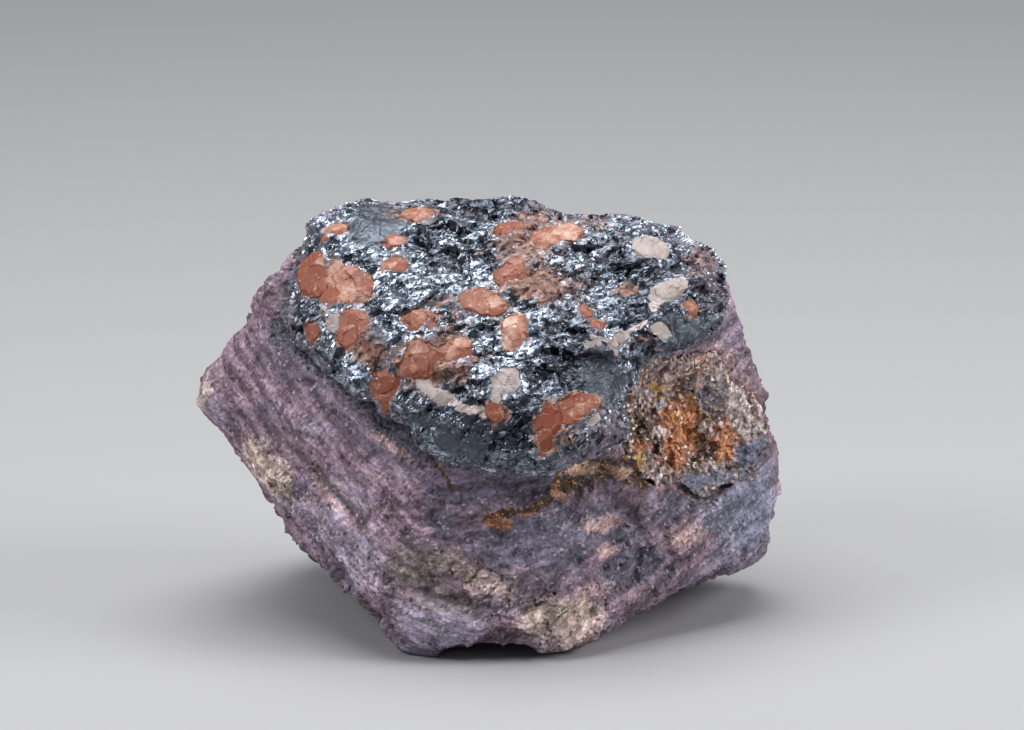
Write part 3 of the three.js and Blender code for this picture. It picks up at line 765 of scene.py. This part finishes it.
def orange_mineral(look):
    """Cleaved, slightly see-through salmon grains with redder depths and pale flecks."""
    grain = Nodes("Orange grain")
    place = grain.place()
    chance = grain.parts(grain.cells(place, 0.34 * MM))
    cloud = grain.grain(place, 2.6 * MM, 3.0)
    fine = grain.grain(place, 0.7 * MM, 5.0, 0.7)
    tone = grain.weighed(cloud, 0.6, fine, 0.4)
    for name, share in GRAIN_SHADES.items():
        tone = grain.maths("ADD", tone, grain.product(grain.kept(name), share))
    base = grain.ramp(tone, (0.39, look.red), (0.50, look.salmon), (0.66, look.pale))
    base = grain.scaled(base, grain.span(chance["Red"], 0.0, 1.0, 0.86, 1.14))
    # Pale flecks that stand for small white highlights on the grains: painted highlights.
    fleck = grain.span(chance["Green"], 0.965, 0.975, 0.0, 0.4)
    base = grain.blend(fleck, base, look.calcite_light)
    normal = grain.bump(fine, 0.14 * MM, 0.7)
    return grain.finish(
        Base_Color=base, Roughness=grain.span(fine, 0.3, 0.7, 0.55, 0.34), Normal=normal,
        Subsurface_Weight=0.3, Subsurface_Radius=(1.0, 0.4, 0.25), Subsurface_Scale=0.9 * MM)


def pale_calcite(look):
    """Pinkish white calcite with darker clefts."""
    calcite = Nodes("Calcite")
    place = calcite.place()
    fine = calcite.grain(place, 0.8 * MM, 5.0, 0.65)
    cloud = calcite.grain(place, 2.6 * MM, 3.0)
    base = calcite.ramp(
        calcite.weighed(fine, 0.5, cloud, 0.5),
        (0.36, look.calcite_shade), (0.48, look.calcite), (0.68, look.calcite_light))
    normal = calcite.bump(fine, 0.14 * MM, 0.7)
    return calcite.finish(
        Base_Color=base, Roughness=calcite.span(fine, 0.3, 0.7, 0.6, 0.4), Normal=normal,
        Subsurface_Weight=0.25, Subsurface_Radius=(1.0, 0.7, 0.6), Subsurface_Scale=0.8 * MM)


def rusty_druse(look):
    """Tiny stained crystals in patches of one colour, with a few that sparkle."""
    druse = Nodes("Iron-stained crust")
    place = druse.place()
    fine = druse.grain(place, 0.6 * MM, 5.0, 0.7)
    cloud = druse.grain(place, 2.4 * MM, 3.0)
    chance = druse.parts(druse.cells(place, 0.5 * MM))
    pick = druse.weighed(druse.kept("crystal"), 0.3, cloud, 0.7)
    base = druse.ramp(pick, (0.36, look.dark), (0.45, look.olive), (0.58, look.mauve))
    for stain in CRUST_PATCHES:
        cover = druse.dithered(druse.kept(stain), chance["Green"], 0.6)
        base = druse.blend(cover, base, getattr(look, stain))
    # Uneven tone, and darker in the clefts between the crystals as painted shade.
    light = druse.product(
        druse.span(fine, 0.3, 0.7, 0.6, 1.4), druse.span(druse.kept("cleft"), 0.2, 0.9, 1.0, 0.6),
        druse.span(chance["Blue"], 0.0, 1.0, 0.5, 1.5))
    base = druse.scaled(base, light)
    # A few crystals painted pale or yellow as glints: painted highlights; they are also glossier.
    sparkle = druse.product(druse.span(chance["Red"], 0.90, 0.93), druse.without(druse.kept("rock")))
    sparkle_tint = druse.blend(druse.span(chance["Green"], 0.0, 0.5), look.yellow, look.clear)
    base = druse.blend(sparkle, base, sparkle_tint)
    lean = druse.scaled(druse.centred(druse.cells(place, 0.34 * MM)), 0.6)
    normal = druse.bump(fine, 0.12 * MM, 0.8, druse.scattered_normal(lean))
    return druse.finish(
        Base_Color=base, Roughness=druse.span(sparkle, 0.0, 1.0, 0.5, 0.2), Normal=normal)


def keep_piece(piece, node, material, numbers):
    """Gives a finished piece its material and the numbers on its points, and ties it to its solid."""
    for name, values in numbers.items():
        kept = piece.data.attributes.new(name, "FLOAT", "POINT")
        kept.data.foreach_set("value", values.astype(np.float32))
    piece.data.materials.clear()
    piece.data.materials.append(material)
    select_only(piece)
    bpy.ops.object.shade_flat()
    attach(piece, "root")
    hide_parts(node)


class SPECIMEN_OT_matrix(bpy.types.Operator):
    """Chipped and layered skin of the matrix"""

    bl_idname = "specimen.matrix"
    bl_label = "Matrix"

    def execute(self, context):
        look = context.scene.specimen_matrix
        piece = skin_of("matrix", "matrix_rock", look.skin_step)
        draw_corners(piece, MATRIX_CORNERS)
        points = points_of(piece)
        painter = Painter(points, normals_of(piece))
        cover = {stain: painter.patches(patches) for stain, patches in MATRIX_PATCHES.items()}
        cover["metal"] = np.maximum(
            painter.patches(METAL_SPOTS), 0.8 * nearness(points, ["franklinite"], METAL_REACH))
        cover["rust"] = np.maximum(cover["rust"], 0.35 * nearness(points, ["iron_crust"], RUST_REACH))
        seams = [painter.seam(route, width) for route, width, _ in SEAMS]
        away = 1.0 - painter.front
        rugged = painter.patches(RUGGED) + 0.5 * noise_at(points + 0.2, 9 * MM) + 0.5 * away
        rugged = np.clip(rugged, 0.0, 1.0)
        clear = 1.0 - nearness(points, ["franklinite", "iron_crust"], WHOLE_REACH)
        depth = layer_depth(points) + 1.5 * noise_at(points, 14 * MM) + 0.3 * noise_at(points, 4 * MM)

        phase = depth * MM / look.layer
        broken = np.clip(0.3 + 1.2 * noise_at(points, 6 * MM) + 0.5 * rugged, 0.0, 1.2)
        ledge = look.layer_step * broken * (0.5 - (phase - np.floor(phase)) ** 1.6)
        grit = 0.16 * noise_at(points, 1.6 * MM, 4) + 0.18 * noise_at(points, 3.6 * MM)
        relief = sum(
            height * np.clip(2.2 * cover[stain] - 0.6, 0.0, 1.0) for stain, height in RELIEF.items())
        groove = sum(seam * groove_depth for seam, (_, _, groove_depth) in zip(seams, SEAMS))
        settle = np.clip(points[:, 2] / FLOOR_REACH, 0.0, 1.0)
        split = (0.15 + 0.35 * rugged + 0.4 * away) * clear
        mosaic(piece, look.block, *BLOCK_FACE, seed=10, share=split * settle, proud=BLOCK_PROUD)
        push(piece, (ledge + (grit + relief - groove) * MM) * settle)
        mosaic(piece, look.chip, *CHIP_FACE, seed=11, share=(0.25 + 0.75 * rugged) * settle)
        mosaic(piece, CRUMB, *CRUMB_FACE, seed=12, share=(0.35 + 0.4 * rugged) * settle)
        points = points_of(piece)
        points[:, 2] = np.maximum(points[:, 2], 0.0)
        move_points(piece, points)
        seam = np.maximum.reduce(seams) * (1.0 - cover["tan"])
        cover.update(layer=depth, rugged=rugged, seam=seam)
        keep_piece(piece, "matrix", matrix_rock(look), cover)
        return {"FINISHED"}


class SPECIMEN_OT_cap(bpy.types.Operator):
    """Mosaic of metallic crystals on the cap"""

    bl_idname = "specimen.cap"
    bl_label = "Franklinite cap"

    def execute(self, context):
        look = context.scene.specimen_cap
        piece = skin_of("franklinite", "franklinite_cap", look.skin_step)
        draw_corners(piece, CAP_CORNERS)
        push(piece, look.growth)
        points, normals = points_of(piece), normals_of(piece)
        painter = Painter(points, normals)
        cover = {name: painter.patches(patches) for name, patches in CAP_PATCHES.items()}
        cover["brown"] = np.maximum(cover["brown"], 0.8 * nearness(points, ORANGE_GRAINS, STAIN_REACH))
        cover["vein"] = np.maximum.reduce([painter.seam(route, width) for route, width in VEINS])
        rim = nearness(points, ["matrix"], DUST_REACH)
        cover["dusty"] = np.maximum(cover["dusty"], rim)
        seat = nearness(points, ORANGE_GRAINS + CALCITE_PATCHES, SEAT_REACH)
        rough = (1.0 - 0.85 * cover["smooth"]) * (1.0 - 0.75 * seat) * (1.0 - 0.6 * rim)
        rough *= np.clip(0.3 + 1.2 * normals @ TOWARD, 0.3, 1.0)
        climb = painter.up * math.cos(ROW_CLIMB) - painter.across * math.sin(ROW_CLIMB)
        terrace = climb * MM / look.terrace + 0.9 * noise_at(points, 9 * MM)
        broken = np.clip(0.5 + 1.5 * noise_at(points + 0.3, 8 * MM), 0.0, 1.2)
        push(piece, look.ledge * broken * (0.5 - (terrace - np.floor(terrace))) * rough)
        _, row_edge = mosaic(
            piece, look.crystal, *ROW_FACE, seed=21, share=0.85 * rough, drawn_out=ROW_STRETCH, lean=ROW_LEAN)
        _, facet_edge = mosaic(piece, look.facet, *FACET_FACE, seed=22, share=rough, drawn_out=FACET_STRETCH)
        crevice = np.maximum(
            np.exp(-((row_edge / ROW_CREVICE) ** 2)), 0.5 * np.exp(-((facet_edge / FACET_CREVICE) ** 2)))
        push(piece, -CREVICE_DEPTH * crevice * rough)
        # The crevices also darken the colour, as painted shade.
        cover["crevice"] = crevice * rough
        keep_piece(piece, "franklinite", franklinite_metal(look), cover)
        return {"FINISHED"}


def press_flush(piece, node, proud, host, fill=1.5 * MM):
    """Presses a piece's outer side down to the broken surface of the host round it, and fills its dents."""
    points, corners = points_of(piece), points_of(host)
    middle = points.mean(0)
    reach = np.linalg.norm(points - middle, axis=1).max() + RING_REACH
    near = (np.linalg.norm(corners - middle, axis=1) < reach) & (normals_of(host) @ TOWARD > 0.2)
    distance = 1.0 - nearness(corners[near], [node], RING_REACH)
    ring = corners[near][(distance > 0.25) & (distance < 1.0)][::7]
    square = np.linalg.svd(ring - ring.mean(0), full_matrices=False)[2][2]
    square *= np.sign(square @ TOWARD)
    apart = (points ** 2).sum(1)[:, None] + (ring ** 2).sum(1)[None, :] - 2.0 * points @ ring.T
    weight = 1.0 / (np.maximum(apart, 0.0) + RING_REACH ** 2) ** 1.5
    height = points @ square - (weight @ (ring @ square)) / weight.sum(1)
    raised = height + max(0.0, proud - height.max())
    outer = normals_of(piece) @ square > 0.3
    limit = np.where(raised > 0.0, proud, 0.3 * proud)
    pressed = np.where((raised > 0.0) | outer & (raised > -fill), limit * np.tanh(raised / limit), raised)
    move_points(piece, points + np.outer(pressed - height, square))


def cleaved_grain(node, name, look, seed):
    """A grain's solid grown into its seat, pressed flush and broken along cleavage faces.

    Returns the piece and one number for each point that is the same all over its face."""
    piece = skin_of(node, name, look.skin_step)
    apply_modifier(piece, "SMOOTH", factor=0.5, iterations=5)
    points = points_of(piece)
    push(piece, look.growth + GRAIN_WAVE * noise_at(points, 2.2 * MM))
    press_flush(piece, node, look.proud, bpy.data.objects["franklinite_cap"])
    face, _ = mosaic(piece, look.cleavage, *CLEAVAGE_FACE, seed=seed, share=0.7, thin=True)
    return piece, face - 0.5


class SPECIMEN_OT_orange_grains(bpy.types.Operator):
    """Cleaved orange grains set in the cap"""

    bl_idname = "specimen.orange_grains"
    bl_label = "Orange grains"

    def execute(self, context):
        look = context.scene.specimen_grain
        material = orange_mineral(look)
        for i, node in enumerate(ORANGE_GRAINS):
            piece, face = cleaved_grain(node, f"{node}_cleaved", look, 200 + i)
            points = points_of(piece)
            keep_piece(piece, node, material, {
                "face": face,
                "tone": np.full(len(points), GRAIN_TONES.get(node.removeprefix("orange_grain_"), 0.0)),
                "red": Painter(points, normals_of(piece)).patches(RED_PATCHES),
                "rim": nearness(points, ["franklinite"], RIM_REACH),
            })
        return {"FINISHED"}


class SPECIMEN_OT_calcite(bpy.types.Operator):
    """Pale calcite patches and veins set in the cap"""

    bl_idname = "specimen.calcite"
    bl_label = "Calcite"

    def execute(self, context):
        look = context.scene.specimen_grain
        material = pale_calcite(look)
        for i, node in enumerate(CALCITE_PATCHES):
            piece, _ = cleaved_grain(node, f"{node}_patch", look, 300 + i)
            keep_piece(piece, node, material, {})
        return {"FINISHED"}


class SPECIMEN_OT_crust(bpy.types.Operator):
    """Drusy iron-stained crust in the hollow"""

    bl_idname = "specimen.crust"
    bl_label = "Iron crust"

    def execute(self, context):
        look = context.scene.specimen_crust
        piece = skin_of("iron_crust", "iron_crust_druse", look.skin_step)
        points = points_of(piece)
        painter = Painter(points, normals_of(piece))
        push(piece, 0.3 * MM + 0.4 * MM * noise_at(points, 3.0 * MM))
        press_flush(piece, "iron_crust", CRUST_PROUD, bpy.data.objects["matrix_rock"], fill=0.0)
        cover = {name: painter.patches(patches) for name, patches in CRUST_PATCHES.items()}
        rough = 1.0 - 0.75 * cover["rock"]
        mosaic(piece, 2.6 * look.crystal, *CLUSTER_FACE, seed=31, share=rough)
        crystal, edge = mosaic(piece, look.crystal, *CRYSTAL_FACE, seed=32, share=rough)
        cover.update(crystal=crystal, cleft=np.exp(-((edge / CLEFT) ** 2)))
        keep_piece(piece, "iron_crust", rusty_druse(look), cover)
        return {"FINISHED"}


def softbox(name, place, size, watts):
    """A rectangular soft light that looks at the specimen."""
    data = bpy.data.lights.new(name, "AREA")
    data.shape = "RECTANGLE"
    data.size, data.size_y = size
    data.energy = watts
    light = bpy.data.objects.new(name, data)
    light.location = place
    light.rotation_euler = (Vector(LIT_PLACE) - Vector(place)).to_track_quat("-Z", "Y").to_euler()
    bpy.context.collection.objects.link(light)


class SPECIMEN_OT_stage(bpy.types.Operator):
    """Floor, softboxes and camera"""

    bl_idname = "specimen.stage"
    bl_label = "Stage"

    def execute(self, context):
        look = context.scene.specimen_stage
        bpy.ops.object.select_all(action="DESELECT")
        bpy.ops.mesh.primitive_plane_add(size=6.0)
        floor = context.active_object
        floor.name = "floor"
        floor.data.materials.append(Nodes("Pale floor").finish(Base_Color=look.floor, Roughness=0.7))

        world = bpy.data.worlds.new("Even light")
        world.use_nodes = True
        background = world.node_tree.nodes["Background"]
        background.inputs["Color"].default_value = (0.92, 0.96, 1.0, 1.0)
        background.inputs["Strength"].default_value = look.sky
        context.scene.world = world
        context.scene.view_settings.view_transform = "Standard"
        for side, (place, size) in SOFTBOXES.items():
            softbox(f"{side} softbox", place, size, getattr(look, f"{side}_light"))

        data = bpy.data.cameras.new("Camera")
        data.sensor_width = 36.0
        data.lens = look.lens
        camera = bpy.data.objects.new("Camera", data)
        distance = look.frame_width * look.lens / data.sensor_width
        across, up, toward = PICTURE_MIDDLE
        aim = DISPLAY_ORIGIN + np.array((across, 0.0, 0.0)) * MM + UP * up * MM + TOWARD * toward * MM
        camera.location = aim + TOWARD * distance
        camera.rotation_euler = (math.pi / 2 - DISPLAY_LEAN, 0.0, 0.0)
        context.collection.objects.link(camera)
        context.scene.camera = camera
        return {"FINISHED"}


class SPECIMEN_PT_sidebar(bpy.types.Panel):
    """The specimen's pieces and their looks"""

    bl_label = "Specimen"
    bl_category = "Specimen"
    bl_space_type = "VIEW_3D"
    bl_region_type = "UI"

    def draw(self, context):
        for operator in OPERATORS:
            self.layout.operator(operator.bl_idname)
        for name, group in LOOKS.items():
            column = self.layout.column(heading=group.__doc__)
            for field in group.__annotations__:
                column.prop(getattr(context.scene, name), field)


OPERATORS = (
    SPECIMEN_OT_matrix,
    SPECIMEN_OT_cap,
    SPECIMEN_OT_orange_grains,
    SPECIMEN_OT_calcite,
    SPECIMEN_OT_crust,
    SPECIMEN_OT_stage,
)


def register():
    for name, group in LOOKS.items():
        bpy.utils.register_class(group)
        setattr(bpy.types.Scene, name, bpy.props.PointerProperty(type=group))
    for operator in OPERATORS:
        bpy.utils.register_class(operator)
    bpy.utils.register_class(SPECIMEN_PT_sidebar)


def unregister():
    bpy.utils.unregister_class(SPECIMEN_PT_sidebar)
    for operator in reversed(OPERATORS):
        bpy.utils.unregister_class(operator)
    for name, group in reversed(LOOKS.items()):
        delattr(bpy.types.Scene, name)
        bpy.utils.unregister_class(group)


def main():
    register()
    bpy.ops.specimen.matrix()
    bpy.ops.specimen.cap()
    bpy.ops.specimen.orange_grains()
    bpy.ops.specimen.calcite()
    bpy.ops.specimen.crust()
    bpy.ops.specimen.stage()


if __name__ == "__main__":
    main()
